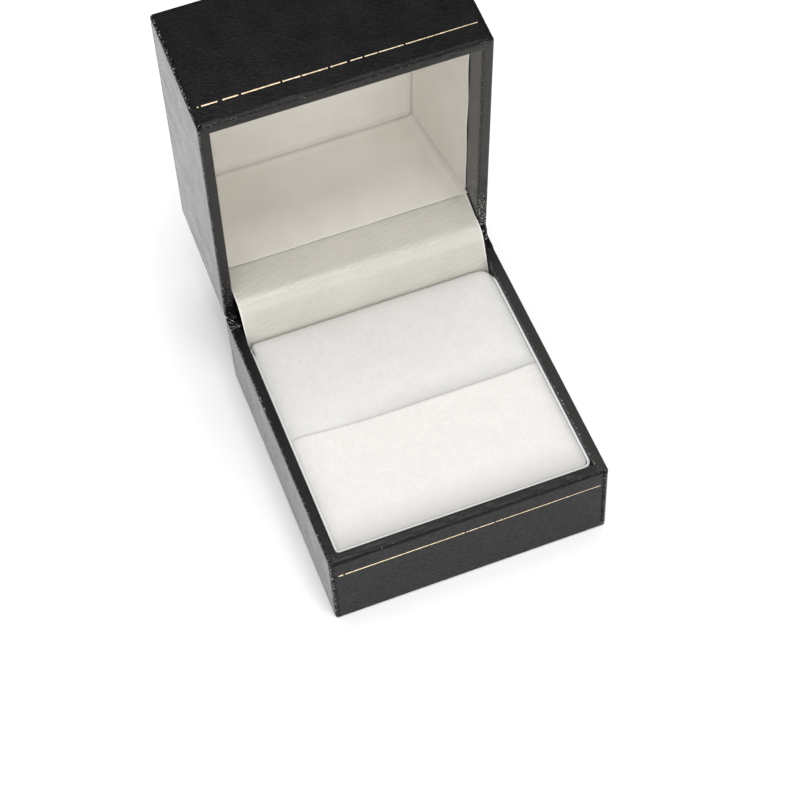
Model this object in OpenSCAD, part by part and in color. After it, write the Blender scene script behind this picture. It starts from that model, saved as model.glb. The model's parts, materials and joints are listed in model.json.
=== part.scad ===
// Hinged ring box: two moulded half shells wrapped in leatherette, a pin hinge and bow spring
// hidden behind an ivory hinge cover, a slotted velvet ring pad and a folded lid lining.
// The origin is the centre of the base's footprint on the table; the front faces -Y.
// The lid is drawn shut and then swung back about the hinge axis to its open stop.

/* [Box] */
// Outside width of base and lid
box_w = 50; // [46:0.5:56]
// Outside depth, front to back
box_d = 55.2; // [52:0.2:60]
// Height of the base, table to rim
base_h = 17.9; // [17:0.1:20]
// Depth of the lid, rim to top
lid_h = 24.7; // [23:0.1:30]
// Gap between the two rims when the box is shut
rim_gap = 0.7; // [0.6:0.05:0.8]
// Angle of the lid at its open stop, from shut
open_angle = 84.7; // [82:0.1:88]

/* [Walls] */
// Wall of the moulded half shells
shell_t = 1.15; // [1:0.05:1.3]
// Floor of the base shell and top of the lid shell
floor_t = 1.2; // [1:0.1:1.5]
// Leatherette on the outside
wrap_t = 0.45; // [0.3:0.05:0.5]
// Leatherette turned in over the rim
turn_in_t = 0.35; // [0.25:0.05:0.4]
// How deep the turned-in leatherette reaches
turn_in_h = 7; // [6:0.5:9]
// Radius of the upright corners
corner_r = 1; // [0.8:0.1:2]
// Bevel along the rims and outside edges
edge_bevel = 0.4; // [0.3:0.05:0.5]

/* [Hinge] */
// Hinge axis inside the back face
axis_in = 0.6; // [0.55:0.05:0.7]
// Outside radius of the hinge barrel
barrel_r = 0.7; // [0.65:0.05:0.75]
// Radius of the hinge pin
pin_r = 0.38; // [0.3:0.01:0.4]
// Length of the hinge barrel
hinge_w = 40; // [30:1:42]
// Height of each hinge leaf, from the axis
leaf_h = 6.75; // [6:0.25:7]
// Mean radius of the bow spring about the hinge axis
spring_r = 3.2; // [3:0.1:3.4]
// Width of the bow spring
spring_w = 16; // [12:1:20]

/* [Hinge cover] */
// Width of the ivory hinge cover
cover_w = 45; // [40:0.5:45.5]
// Highest point of its arch above the table
cover_top = 23.75; // [23:0.05:24]
// Bend radius of the arch
cover_r = 3.6; // [3.2:0.1:4]

/* [Ring pad] */
// Height of the velvet surface
pad_top = 17.05; // [16.5:0.05:17.2]
// Back edge of the pad assembly, behind the box centre
pad_back = 20.85; // [20:0.05:20.9]
// Ring slot, in front of the box centre
slot_y = 1.1; // [0:0.1:4]
// Gap between the two velvet pads in the ring slot
slot_gap = 0.2; // [0.1:0.05:0.4]

/* [Lid lining] */
// Depth of the lining's mouth below the lid rim
lining_recess = 5.2; // [5:0.1:6]
// How far each lining panel leans in over its height
lining_lean = 4; // [3:0.1:5]

/* [Trim] */
// Height of the gold line above the table
line_z = 13.65; // [12:0.05:14.5]
// Width of the gold line
line_w = 0.35; // [0.25:0.05:0.6]

/* [Hidden] */
$fn = 48;
eps = 0.01;

// Heights in the shut box
sheet_t = 0.3;                          // paper sheet under the base
lid_rim_z = base_h + rim_gap;
lid_top_z = lid_rim_z + lid_h;
axis_y = box_d / 2 - axis_in;
axis_z = base_h + rim_gap / 2;

// Plan sizes, from the outside in
shell_w = box_w - 2 * wrap_t;
shell_d = box_d - 2 * wrap_t;
bay_w = shell_w - 2 * shell_t;          // inside the bare shell
bay_d = shell_d - 2 * shell_t;
mouth_w = bay_w - 2 * turn_in_t;        // inside the turned-in leatherette
mouth_d = bay_d - 2 * turn_in_t;
shell_r = corner_r - wrap_t;
bay_r = 0.5;
rim_cap = 0.4;                          // leatherette over the top of the shell wall
bottom_band = 6;                        // leatherette turned under the base
sheet_inset = 2;

// Hinge, measured from its axis: back wall face, leaf and clearances
wall_face = axis_in - wrap_t - shell_t - turn_in_t;
leaf_t = 0.5;
tab_t = 0.4;
knuckles = 5;
knuckle_gap = 0.1;
run_clearance = 0.04;                   // pin in the lid's knuckles
barrel_clearance = 0.15;
rivet_z = 4.6;
rivet_r = 0.5;
rivet_head_r = 0.9;
rivet_head_t = 0.25;
leaf_rivet_x = 16;
spring_rivet_x = 5;
spring_t = 0.3;
lid_slack = 0.05;                       // between a flexible piece and the lid parts it meets

// Ring pad, from the tray in
floor_z = sheet_t + wrap_t + floor_t;
tray_gap = 0.2;
tray_t = 0.5;
tray_z = 6.6;
tray_rim = 16.6;
tray_w = mouth_w - 2 * tray_gap;
tray_front = -mouth_d / 2 + tray_gap;
pad_gap = 0.05;
pad_w = tray_w - 2 * (tray_t + pad_gap);
pad_front = tray_front + tray_t + pad_gap;
pad_rear = pad_back - tray_t - pad_gap;
velvet_t = 0.6;
pad_corner_r = 2;
card_t = 0.6;

// Hinge cover: a foot behind the pad, a leaning front, an arch and a tongue under the lining
cover_t = 0.4;
cover_foot_y = 21.2;
cover_foot_z = 2.2;
cover_knee_z = 15;
cover_lean = 71;
cover_dip = 9;
cover_tongue = 5.4;
arch_z = cover_top - cover_r;
knee_to_arch = arch_z + cover_r * cos(cover_lean) - cover_knee_z;
arch_y = cover_foot_y + knee_to_arch / tan(cover_lean) + cover_r * sin(cover_lean);

// Spine strip over the back of the joint
strip_w = 47;
strip_t = 0.3;
strip_leg = 5.5;

// Lid lining, visible faces, in the shut box
lining_t = 0.35;
lining_mouth_z = lid_rim_z + lining_recess;
lining_top_z = lid_top_z - wrap_t - floor_t - card_t - lining_t;
lining_mouth_x = mouth_w / 2 - card_t - lining_t - 0.05;
lining_mouth_front = -mouth_d / 2 + card_t + lining_t + 0.05;
lining_mouth_back = 21.6;
lining_back_lean = 5.4;

line_l = 47.3;
line_depth = 0.1;
foil_t = 0.08;
lid_line_z = lid_rim_z + base_h - line_z;

// ---- Shared shapes ----

module rounded_area(w, d, r) {
    square([w - 2 * r, d], center = true);
    square([w, d - 2 * r], center = true);
    for (x = [-1, 1], y = [-1, 1])
        translate([x * (w / 2 - r), y * (d / 2 - r)]) circle(r);
}

module block(w, d, r, z0, z1) {
    translate([0, 0, z0]) linear_extrude(z1 - z0) rounded_area(w, d, r);
}

// A block with bevelled top and bottom edges
module bevelled_block(w, d, r, z0, z1) {
    b = edge_bevel;
    hull() {
        block(w - 2 * b, d - 2 * b, r, z0, z1, $fn = 32);
        block(w, d, r, z0 + b, z1 - b, $fn = 32);
    }
}

// A rectangle between two Y values
module slab(w, y0, y1, z0, z1) {
    translate([-w / 2, y0, z0]) cube([w, y1 - y0, z1 - z0]);
}

// The same with its back or front corners rounded in plan
module pad_block(w, y0, y1, z0, z1, r) {
    translate([0, (y0 + y1) / 2, 0]) block(w, y1 - y0, r, z0, z1);
}

// Extrudes a (Y, Z) outline across the box
module across(w) {
    rotate([90, 0, 90]) linear_extrude(w, center = true) children();
}

module at_axis() {
    translate([0, axis_y, axis_z]) children();
}

// Swings what is drawn in the shut box back to the open stop
module opened() {
    at_axis() rotate([-open_angle, 0, 0]) translate([0, -axis_y, -axis_z]) children();
}

// Draws in the upright lid what is drawn for the base: mirrored about the rim plane
module mirrored_at_axis() {
    translate([0, 0, axis_z]) mirror([0, 0, 1]) translate([0, 0, -axis_z]) children();
}

function arc(c, r, a0, a1, n = 24) =
    [for (i = [0:n]) c + r * [cos(a0 + (a1 - a0) * i / n), sin(a0 + (a1 - a0) * i / n)]];

function reversed(v) = [for (i = [len(v) - 1:-1:0]) v[i]];

// From lid measures (s up the back wall, t out of it, both from the axis) to Y and Z when open
function lid_point(s, t) = [
    axis_y + s * sin(open_angle) + t * cos(open_angle),
    axis_z + s * cos(open_angle) - t * sin(open_angle),
];

// ---- Half shells and their leatherette; z0 is the closed side, rim the open side ----

module shell_solid(z0, rim) {
    difference() {
        block(shell_w, shell_d, shell_r, z0, rim - rim_cap);
        block(bay_w, bay_d, bay_r, z0 + floor_t, rim);
    }
}

// Room for the barrel, the tabs and the rivets in a half's back wall
module hinge_room() {
    at_axis() {
        rotate([0, 90, 0])
            cylinder(r = barrel_r + barrel_clearance, h = hinge_w + 2 * knuckle_gap, center = true);
        slab(hinge_w + 2 * knuckle_gap, wall_face - eps, 0, -barrel_r - knuckle_gap, 2);
        for (x = rivet_places()) translate([x, 0, -rivet_z]) rivet_bore(rivet_r);
    }
}

function rivet_places() = [-leaf_rivet_x, -spring_rivet_x, spring_rivet_x, leaf_rivet_x];

module rivet_bore(r) {
    rotate([90, 0, 0]) translate([0, 0, wrap_t - axis_in])
        cylinder(r = r, h = shell_t + turn_in_t + leaf_t + spring_t + 2 * lid_slack + eps);
}

module half_shell(z0, rim) {
    difference() {
        shell_solid(z0, rim);
        hinge_room();
    }
}

module half_wrap(z0, rim) {
    difference() {
        bevelled_block(box_w, box_d, corner_r, z0, rim);
        shell_solid(z0 + wrap_t, rim);
        block(bay_w, bay_d, bay_r, z0 + wrap_t + floor_t, rim - turn_in_h);
        block(mouth_w, mouth_d, bay_r, z0 + wrap_t + floor_t, rim + 1);
        hinge_room();
    }
}

// ---- Base ----

module base_shell() {
    color([0.13, 0.13, 0.14]) half_shell(sheet_t + wrap_t, base_h);
}

module base_wrap() {
    color([0.20, 0.20, 0.20]) difference() {
        half_wrap(sheet_t, base_h);
        slab(box_w - 2 * bottom_band, bottom_band - box_d / 2, box_d / 2 - bottom_band,
            0, sheet_t + wrap_t);
        gold_groove(line_z);
    }
}

module base_bottom_sheet() {
    color([0.10, 0.10, 0.10]) union() {
        block(box_w - 2 * sheet_inset, box_d - 2 * sheet_inset, corner_r, 0, sheet_t);
        slab(box_w - 2 * bottom_band, bottom_band - box_d / 2, box_d / 2 - bottom_band,
            0, sheet_t + wrap_t);
    }
}

module gold_groove(z) {
    slab(line_l, -box_d / 2 - 1, line_depth - box_d / 2, z - line_w / 2, z + line_w / 2);
}

module gold_foil(z) {
    color([0.83, 0.66, 0.38])
        slab(line_l, line_depth - foil_t - box_d / 2, line_depth - box_d / 2,
            z - line_w / 2, z + line_w / 2);
}

module base_gold_line() {
    gold_foil(line_z);
}

// ---- Ring pad ----

// Folded card platform, open underneath, that holds the tray up
module pad_riser() {
    color([0.72, 0.70, 0.65]) difference() {
        slab(tray_w, tray_front, cover_foot_y, floor_z, tray_z);
        slab(tray_w - 2 * card_t, tray_front + card_t, cover_foot_y - card_t,
            floor_z - 1, tray_z - card_t);
    }
}

module pad_tray() {
    color([0.95, 0.95, 0.94]) difference() {
        pad_block(tray_w, tray_front, pad_back, tray_z, tray_rim, pad_corner_r);
        pad_block(tray_w - 2 * tray_t, tray_front + tray_t, pad_back - tray_t,
            tray_z + tray_t, tray_rim + 1, pad_corner_r - tray_t);
    }
}

// One of the two pads: the whole pad's rounded outline, cut off at the ring slot
module pad_part(y0, y1, d, z0, z1) {
    intersection() {
        pad_block(pad_w - 2 * d, pad_front + d, pad_rear - d, z0, z1, pad_corner_r - d);
        slab(pad_w, y0 + d, y1 - d, z0, z1);
    }
}

module pad_foam(y0, y1) {
    color([0.88, 0.86, 0.80]) pad_part(y0, y1, velvet_t, tray_z + tray_t, pad_top - velvet_t);
}

module pad_cover(y0, y1) {
    color([0.95, 0.94, 0.92]) difference() {
        pad_part(y0, y1, 0, tray_z + tray_t, pad_top);
        pad_part(y0, y1, velvet_t, tray_z, pad_top - velvet_t);
    }
}

module pad_foam_front() {
    pad_foam(pad_front, -slot_y - slot_gap / 2);
}

module pad_foam_rear() {
    pad_foam(-slot_y + slot_gap / 2, pad_rear);
}

module pad_cover_front() {
    pad_cover(pad_front, -slot_y - slot_gap / 2);
}

module pad_cover_rear() {
    pad_cover(-slot_y + slot_gap / 2, pad_rear);
}

// ---- Hinge and spring ----

// Every second knuckle, from the given first one, with its tab; the plate hangs below the axis
module hinge_leaf(first, bore_r) {
    pitch = hinge_w / knuckles;
    knuckle_w = pitch - knuckle_gap;
    color([0.72, 0.72, 0.70]) at_axis() difference() {
        union() {
            slab(hinge_w - knuckle_gap, wall_face - leaf_t, wall_face, -leaf_h, -barrel_r + tab_t);
            for (i = [first:2:knuckles - 1]) translate([(i + 0.5) * pitch - hinge_w / 2, 0, 0]) {
                slab(knuckle_w, wall_face - leaf_t, 0, -barrel_r, -barrel_r + tab_t);
                rotate([0, 90, 0]) cylinder(r = barrel_r, h = knuckle_w, center = true);
            }
        }
        rotate([0, 90, 0]) cylinder(r = bore_r, h = hinge_w + 1, center = true);
        for (x = rivet_places()) translate([x, 0, -rivet_z]) rivet_bore(rivet_r);
    }
}

module hinge_base_leaf() {
    hinge_leaf(0, pin_r);
}

module hinge_lid_leaf() {
    opened() mirrored_at_axis() hinge_leaf(1, pin_r + run_clearance);
}

module hinge_pin() {
    color([0.60, 0.60, 0.58]) at_axis() rotate([0, 90, 0])
        cylinder(r = pin_r, h = hinge_w - knuckle_gap, center = true);
}

// Four rivets; the inner two clamp the spring's foot, which adds its thickness and any slack
module rivets(foot_slack) {
    color([0.78, 0.76, 0.70]) at_axis() for (x = rivet_places()) {
        grip = abs(x) == spring_rivet_x ? spring_t + foot_slack : 0;
        under_head = leaf_t - wall_face + grip;
        translate([x, 0, -rivet_z]) rotate([90, 0, 0]) {
            translate([0, 0, wrap_t - axis_in])
                cylinder(r = rivet_r, h = under_head + axis_in - wrap_t);
            translate([0, 0, under_head]) cylinder(r = rivet_head_r, h = rivet_head_t);
        }
    }
}

module hinge_rivets_base() {
    rivets(0);
}

module hinge_rivets_lid() {
    opened() mirrored_at_axis() rivets(2 * lid_slack);
}

// The bow spring's outline on one side, y in front of the axis at the feet and r round the bow
function spring_path(y, r) = concat(
    [[axis_y - y, axis_z - leaf_h + 0.5]],
    arc([axis_y, axis_z], r, 180 + acos(y / r), 180 - acos((y + lid_slack) / r) - open_angle, 40),
    [lid_point(leaf_h - 0.5, -y - lid_slack)]
);

// One foot is riveted to each leaf
module snap_spring() {
    y = leaf_t - wall_face;
    color([0.55, 0.56, 0.58]) difference() {
        across(spring_w) polygon(concat(
            spring_path(y + spring_t, spring_r + spring_t / 2),
            reversed(spring_path(y, spring_r - spring_t / 2))
        ));
        at_axis() spring_bores(rivet_r);
        opened() mirrored_at_axis() at_axis() spring_bores(rivet_r + lid_slack);
    }
}

module spring_bores(r) {
    for (x = [-1, 1]) translate([x * spring_rivet_x, 0, -rivet_z]) rivet_bore(r);
}

// ---- Flexible leatherette across the joint ----

// The cover's outline at depth d below its visible face
function cover_path(d) = concat(
    [[cover_foot_y + d, cover_foot_z],
     [cover_foot_y + d, cover_knee_z - d * tan((90 - cover_lean) / 2)]],
    arc([arch_y, arch_z], cover_r - d, 90 + cover_lean, 90 - cover_dip),
    [[arch_y, arch_z] + (cover_r - d) * [sin(cover_dip), cos(cover_dip)]
        + cover_tongue * [cos(cover_dip), -sin(cover_dip)]]
);

module hinge_cover() {
    color([0.84, 0.83, 0.79]) across(cover_w)
        polygon(concat(cover_path(0), reversed(cover_path(cover_t))));
}

// Where the base's back face, moved out by u, meets the open lid's back face, moved out by v
function strip_corner(u, v) = lid_point((axis_in + u - (axis_in + v) * cos(open_angle))
    / sin(open_angle), axis_in + v);

module spine_strip() {
    back = box_d / 2;
    low = axis_z - strip_leg;
    color([0.16, 0.16, 0.16]) across(strip_w) polygon([
        [back, low],
        [back + strip_t, low],
        strip_corner(strip_t, strip_t + lid_slack),
        lid_point(strip_leg, axis_in + strip_t + lid_slack),
        lid_point(strip_leg, axis_in + lid_slack),
        strip_corner(0, lid_slack),
    ]);
}

// ---- Lid, drawn shut ----

module lid_shell() {
    color([0.13, 0.13, 0.14]) opened() mirrored_at_axis()
        half_shell(2 * axis_z - lid_top_z + wrap_t, base_h);
}

module lid_wrap() {
    color([0.20, 0.20, 0.20]) opened() difference() {
        mirrored_at_axis() half_wrap(2 * axis_z - lid_top_z, base_h);
        gold_groove(lid_line_z);
    }
}

module lid_gold_line() {
    opened() gold_foil(lid_line_z);
}

// A tapered block whose faces lie d outside the lining's visible faces
module lining_block(d, z0, z1) {
    hull() for (z = [z0, z1]) {
        k = (z - lining_mouth_z) / (lining_top_z - lining_mouth_z);
        x = lining_mouth_x - k * lining_lean + d;
        translate([0, 0, z]) slab(2 * x, lining_mouth_front + k * lining_lean - d,
            lining_mouth_back - k * lining_back_lean + d, 0, eps);
    }
}

// A tapered tray between depths d0 and d1 behind the visible faces
module lining_tray(d0, d1) {
    difference() {
        lining_block(d1, lining_mouth_z, lining_top_z + d1 - eps);
        lining_block(d0, lining_mouth_z - 1, lining_top_z + d0 - eps);
    }
}

module lid_lining_card() {
    color([0.80, 0.78, 0.74]) opened() lining_tray(lining_t, lining_t + card_t);
}

module lid_lining() {
    color([0.85, 0.84, 0.80]) opened() lining_tray(0, lining_t);
}

base_shell();
base_wrap();
base_bottom_sheet();
base_gold_line();
pad_riser();
pad_tray();
pad_foam_front();
pad_foam_rear();
pad_cover_front();
pad_cover_rear();
hinge_base_leaf();
hinge_pin();
hinge_rivets_base();
snap_spring();
hinge_cover();
spine_strip();
hinge_lid_leaf();
hinge_rivets_lid();
lid_shell();
lid_wrap();
lid_gold_line();
lid_lining_card();
lid_lining();
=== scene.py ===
import json
from functools import partial
from math import cos, degrees, hypot, pi, radians, sin, tan

import bpy
import numpy as np
from mathutils import Matrix, Vector, noise


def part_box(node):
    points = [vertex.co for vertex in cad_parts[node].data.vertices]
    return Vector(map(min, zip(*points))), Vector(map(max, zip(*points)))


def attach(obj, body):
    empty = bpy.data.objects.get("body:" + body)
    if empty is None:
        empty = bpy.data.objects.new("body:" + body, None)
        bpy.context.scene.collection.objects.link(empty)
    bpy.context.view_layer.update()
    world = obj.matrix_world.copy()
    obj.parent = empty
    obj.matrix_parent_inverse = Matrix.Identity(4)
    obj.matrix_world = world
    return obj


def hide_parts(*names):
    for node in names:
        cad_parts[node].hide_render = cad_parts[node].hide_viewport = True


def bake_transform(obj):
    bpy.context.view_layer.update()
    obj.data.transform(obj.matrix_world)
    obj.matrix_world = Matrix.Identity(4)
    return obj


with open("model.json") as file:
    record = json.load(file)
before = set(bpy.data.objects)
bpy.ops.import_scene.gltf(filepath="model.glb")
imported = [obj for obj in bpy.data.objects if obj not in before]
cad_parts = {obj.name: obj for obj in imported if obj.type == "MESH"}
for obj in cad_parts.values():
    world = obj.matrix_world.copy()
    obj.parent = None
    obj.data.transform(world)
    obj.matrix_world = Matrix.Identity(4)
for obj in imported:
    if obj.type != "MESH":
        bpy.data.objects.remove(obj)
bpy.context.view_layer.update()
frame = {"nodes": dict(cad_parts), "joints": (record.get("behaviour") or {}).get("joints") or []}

# The ring box's looks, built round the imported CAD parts. Lengths below are in millimetres in the
# frame's own axes (the box's front faces -Y) and become metres when a mesh is made.
# The lid's pieces are drawn with the box shut and then swung open about the hinge, as in the CAD.

MM = 0.001

# ---- Sizes, worked out from the frame ----


def mm_box(node):
    low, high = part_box(node)
    return np.array(low) / MM, np.array(high) / MM


hinge = frame["joints"][0]
AXIS = np.array(hinge["pos_m"]) / MM
OPEN = radians(hinge["range_deg"][1])


def shut_box(node):
    """The corners of a lid node's box with the lid shut."""
    points = np.array([v.co for v in frame["nodes"][node].data.vertices]) / MM
    points = swing(points, OPEN)
    return points.min(0), points.max(0)


def swing(points, angle):
    """Turns points about the hinge axis; a positive angle shuts the lid."""
    c, s = cos(angle), sin(angle)
    p = np.asarray(points, float) - AXIS
    return np.stack([p[:, 0], p[:, 1] * c - p[:, 2] * s, p[:, 1] * s + p[:, 2] * c], 1) + AXIS


wrap_low, wrap_high = mm_box("base_wrap")
tray_low, tray_high = mm_box("pad_tray")
front_low, front_high = mm_box("pad_cover_front")
rear_low, rear_high = mm_box("pad_cover_rear")
cover_low, cover_high = mm_box("hinge_cover")
lid_low, lid_high = shut_box("lid_wrap")
liner_low, liner_high = shut_box("lid_lining")

HALF_W = wrap_high[0]
HALF_D = wrap_high[1]
BASE_RIM = wrap_high[2]
LID_RIM = lid_low[2]
WRAP_T = HALF_W - mm_box("base_shell")[1][0]
TRAY_GAP = 0.2  # between the tray and the wall
WALL = HALF_W - tray_high[0] - TRAY_GAP  # outside face to the turned-in leatherette
TURN_T = 0.35  # the turned-in leatherette's thickness
TURN_DEPTH = 7.0  # how far it reaches down the inside

# ---- Meshes ----


def add_object(name, data):
    obj = bpy.data.objects.new(name, data)
    bpy.context.scene.collection.objects.link(obj)
    return obj


def add_mesh(name, points, faces, materials, open_lid=False, faces_material=None):
    """A mesh object from points in millimetres. The rest attribute keeps each point's place for textures."""
    points = np.asarray(points, float)
    if open_lid:
        points = swing(points, -OPEN)
    mesh = bpy.data.meshes.new(name)
    mesh.from_pydata((points * MM).tolist(), [], faces)
    for m in materials:
        mesh.materials.append(m)
    if faces_material is not None:
        mesh.polygons.foreach_set("material_index", faces_material)
    mesh.polygons.foreach_set("use_smooth", [True] * len(mesh.polygons))
    mesh.update()
    flat = np.empty(len(points) * 3, np.float32)
    mesh.vertices.foreach_get("co", flat)
    mesh.attributes.new("rest", "FLOAT_VECTOR", "POINT").data.foreach_set("vector", flat)
    return add_object(name, mesh)


def set_attribute(obj, name, values):
    attribute = obj.data.attributes.new(name, "FLOAT", "POINT")
    attribute.data.foreach_set("value", np.asarray(values, np.float32))


def grid_faces(rows, columns, wrap_rows=False, wrap_columns=False, flip=False):
    """Quads over a rows by columns array of points."""
    faces = []
    for i in range(rows if wrap_rows else rows - 1):
        for j in range(columns if wrap_columns else columns - 1):
            a = i * columns + j
            b = i * columns + (j + 1) % columns
            c = ((i + 1) % rows) * columns + (j + 1) % columns
            d = ((i + 1) % rows) * columns + j
            faces.append((a, d, c, b) if flip else (a, b, c, d))
    return faces


def grid_rim(rows, columns):
    """The points round the edge of a grid, in order."""
    rim = list(range(columns)) + [i * columns + columns - 1 for i in range(1, rows)]
    rim += [(rows - 1) * columns + j for j in range(columns - 2, -1, -1)]
    return rim + [i * columns for i in range(rows - 2, 0, -1)]


def slab_faces(rows, columns, flip=False):
    """Faces of a thin slab, made of two rows by columns grids of points one after the other.
    Returns the faces of its two sides and those of its edge."""
    size = rows * columns
    grid = grid_faces(rows, columns, flip=flip)
    sides = grid + shifted([f[::-1] for f in grid], size)
    rim = grid_rim(rows, columns)
    edge = [(a, b, size + b, size + a) if flip else (b, a, size + a, size + b)
            for a, b in zip(rim, rim[1:] + rim[:1])]
    return sides, edge


def shifted(faces, first):
    """The same faces, for points that start at index first."""
    return [tuple(first + k for k in f) for f in faces]


def ramp(value, low, high):
    """0 below low, 1 above high, straight between them."""
    return min(1.0, max(0.0, (value - low) / (high - low)))


def nearness(distance, reach):
    """1 at no distance, falling straight to 0 at reach and beyond."""
    return max(0.0, 1 - distance / reach)


def wave(p, size, seed=0.0):
    """Smooth noise from about -1 to 1 with features of the given size in millimetres."""
    return noise.noise(Vector((p[0] / size + seed, p[1] / size - seed, p[2] / size + 2 * seed)))


def arc_points(centre, radius, start, end, steps):
    """Points on an arc in a plane, angles in degrees."""
    angles = np.radians(np.linspace(start, end, steps + 1))
    return [(centre[0] + radius * cos(a), centre[1] + radius * sin(a)) for a in angles]


def spaced_line(a, b, step):
    """Points from a to b, without b, about step apart."""
    count = max(1, int(round(hypot(b[0] - a[0], b[1] - a[1]) / step)))
    return [(a[0] + (b[0] - a[0]) * i / count, a[1] + (b[1] - a[1]) * i / count)
            for i in range(count)]


def outline(inset, low=None, high=None, radii=None, step=0.5, corner_steps=6):
    """A rounded rectangle moved in by inset, as rows of x, y and outward normal.
    radii are those of the front right, back right, back left and front left corners."""
    low = low or (-HALF_W, -HALF_D)
    high = high or (HALF_W, HALF_D)
    radii = radii or CORNERS
    side_x = int(round((high[0] - low[0]) / step))
    side_y = int(round((high[1] - low[1]) / step))
    corners = []
    for k, (x, y, sx, sy) in enumerate(((high[0], low[1], -1, 1), (high[0], high[1], -1, -1),
                                        (low[0], high[1], 1, -1), (low[0], low[1], 1, 1))):
        r = max(radii[k] - inset, 0.2)
        corners.append((x + sx * (inset + r), y + sy * (inset + r), r, 90 * k - 90))
    rows = []
    for k, (cx, cy, r, start) in enumerate(corners):
        for i in range(corner_steps + 1):
            a = radians(start + 90 * i / corner_steps)
            rows.append((cx + r * cos(a), cy + r * sin(a), cos(a), sin(a)))
        nx, ny, r2, _ = corners[(k + 1) % 4]
        a = radians(start + 90)
        first = (cx + r * cos(a), cy + r * sin(a))
        last = (nx + r2 * cos(a), ny + r2 * sin(a))
        sides = side_y if k % 2 == 0 else side_x
        for i in range(1, sides):
            t = i / sides
            rows.append((first[0] + (last[0] - first[0]) * t, first[1] + (last[1] - first[1]) * t,
                         cos(a), sin(a)))
    return np.array(rows)


# ---- Leatherette over a half shell ----

CORNERS = (0.6, 0.35, 0.35, 0.6)
FRONT_ROLL = (0.55, 1.25)  # how far the rim's roll reaches in from the face, and down it
SIDE_ROLL = (0.42, 0.70)
BACK_ROLL = (0.25, 0.25)
RIM_IN_R = 0.3
FOOT_R = 0.2
BOTTOM_BAND = 6.0  # width of the leatherette turned under the closed side
SINK = 0.045  # room left under the CAD's outside for the leatherette's waves
# x and reach of each dent in the front rim
DENTS = ((-18.6, 0.9), (-16.9, 1.0), (-15.6, 0.8), (-9.0, 1.1),
         (-3.2, 0.7), (3.4, 1.0), (12.5, 0.8), (17.6, 1.2))
SEAM_BACK = 14  # how many points down the right side the lap reaches
HIDDEN_POINTS = 5  # the profile's last points, inside the wrap: no waves and no wear there
RIM_SKIN = 0.3  # how far below the rim its marks fade out
INNER_SINK = 0.3  # the inside face sinks by this share of the outside's waves
PUCKER, PUCKER_REACH = 0.07, 3.2  # depth of the folds at a corner, and how far from it they reach
MITRE_DROP = 0.10
FOIL_T, FOIL_SKIP = 0.02, 0.43  # the gold foil's half thickness, and how high the noise goes before it skips


def roll_size(x, nx, ny):
    """The rim's roll, which is not quite even along the front."""
    side, front, back = nx * nx, max(0.0, -ny) ** 2, max(0.0, ny) ** 2
    uneven = (0.90 + 0.18 * wave((x, 0, 0), 5.0, 8.0), 0.74 + 0.42 * wave((x, 0, 0), 7.0, 3.0))
    return [side * SIDE_ROLL[k] + front * FRONT_ROLL[k] * min(1.0, uneven[k]) + back * BACK_ROLL[k]
            for k in (0, 1)]


def wrap_profile(height, roll):
    """The wrap's outline as (inset, height above the closed side), round the wall and back."""
    a, b = roll
    path = spaced_line((BOTTOM_BAND, 0), (FOOT_R, 0), 0.8)
    path += arc_points((FOOT_R, FOOT_R), FOOT_R, 270, 180, 5)
    straight = height - FRONT_ROLL[1]
    path += [(0, FOOT_R + (straight - FOOT_R) * i / 26) for i in range(1, 26)] + [(0, straight)]
    path += [(0, straight + (FRONT_ROLL[1] - b) * i / 3) for i in (1, 2)]
    path += [(a * (1 - cos(t)), height - b + b * sin(t)) for t in np.radians(np.linspace(0, 90, 10))]
    flat = WALL - RIM_IN_R
    path += [(a + (flat - a) * i / 5, height) for i in range(1, 5)]
    path += arc_points((flat, height - RIM_IN_R), RIM_IN_R, 90, 0, 4)
    path += spaced_line((WALL, height - RIM_IN_R), (WALL, height - TURN_DEPTH), 0.8)[1:]
    hidden = WALL - TURN_T
    path += [(WALL, height - TURN_DEPTH), (hidden, height - TURN_DEPTH),
             (hidden, height - 0.4), (WRAP_T, height - 0.4), (WRAP_T, WRAP_T), (BOTTOM_BAND, WRAP_T)]
    return path


def waves(x, y, z):
    """How far the glued leatherette sinks under its outermost place."""
    return SINK + 0.010 * wave((x, y, z), 9.0) + 0.003 * wave((x, y, z), 3.0, 4.0)


def rim_marks(x, y, ny):
    """Dents that the lid has pushed into the front rim."""
    if ny > -0.5 or y > -HALF_D + WALL:
        return 0.0
    mark = 0.0
    for dx, reach in DENTS:
        along, across = (x - dx) / reach, (y + HALF_D - 0.8) / 0.42
        mark = max(mark, 0.16 * max(0.0, 1 - along * along - across * across))
    return mark


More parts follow.
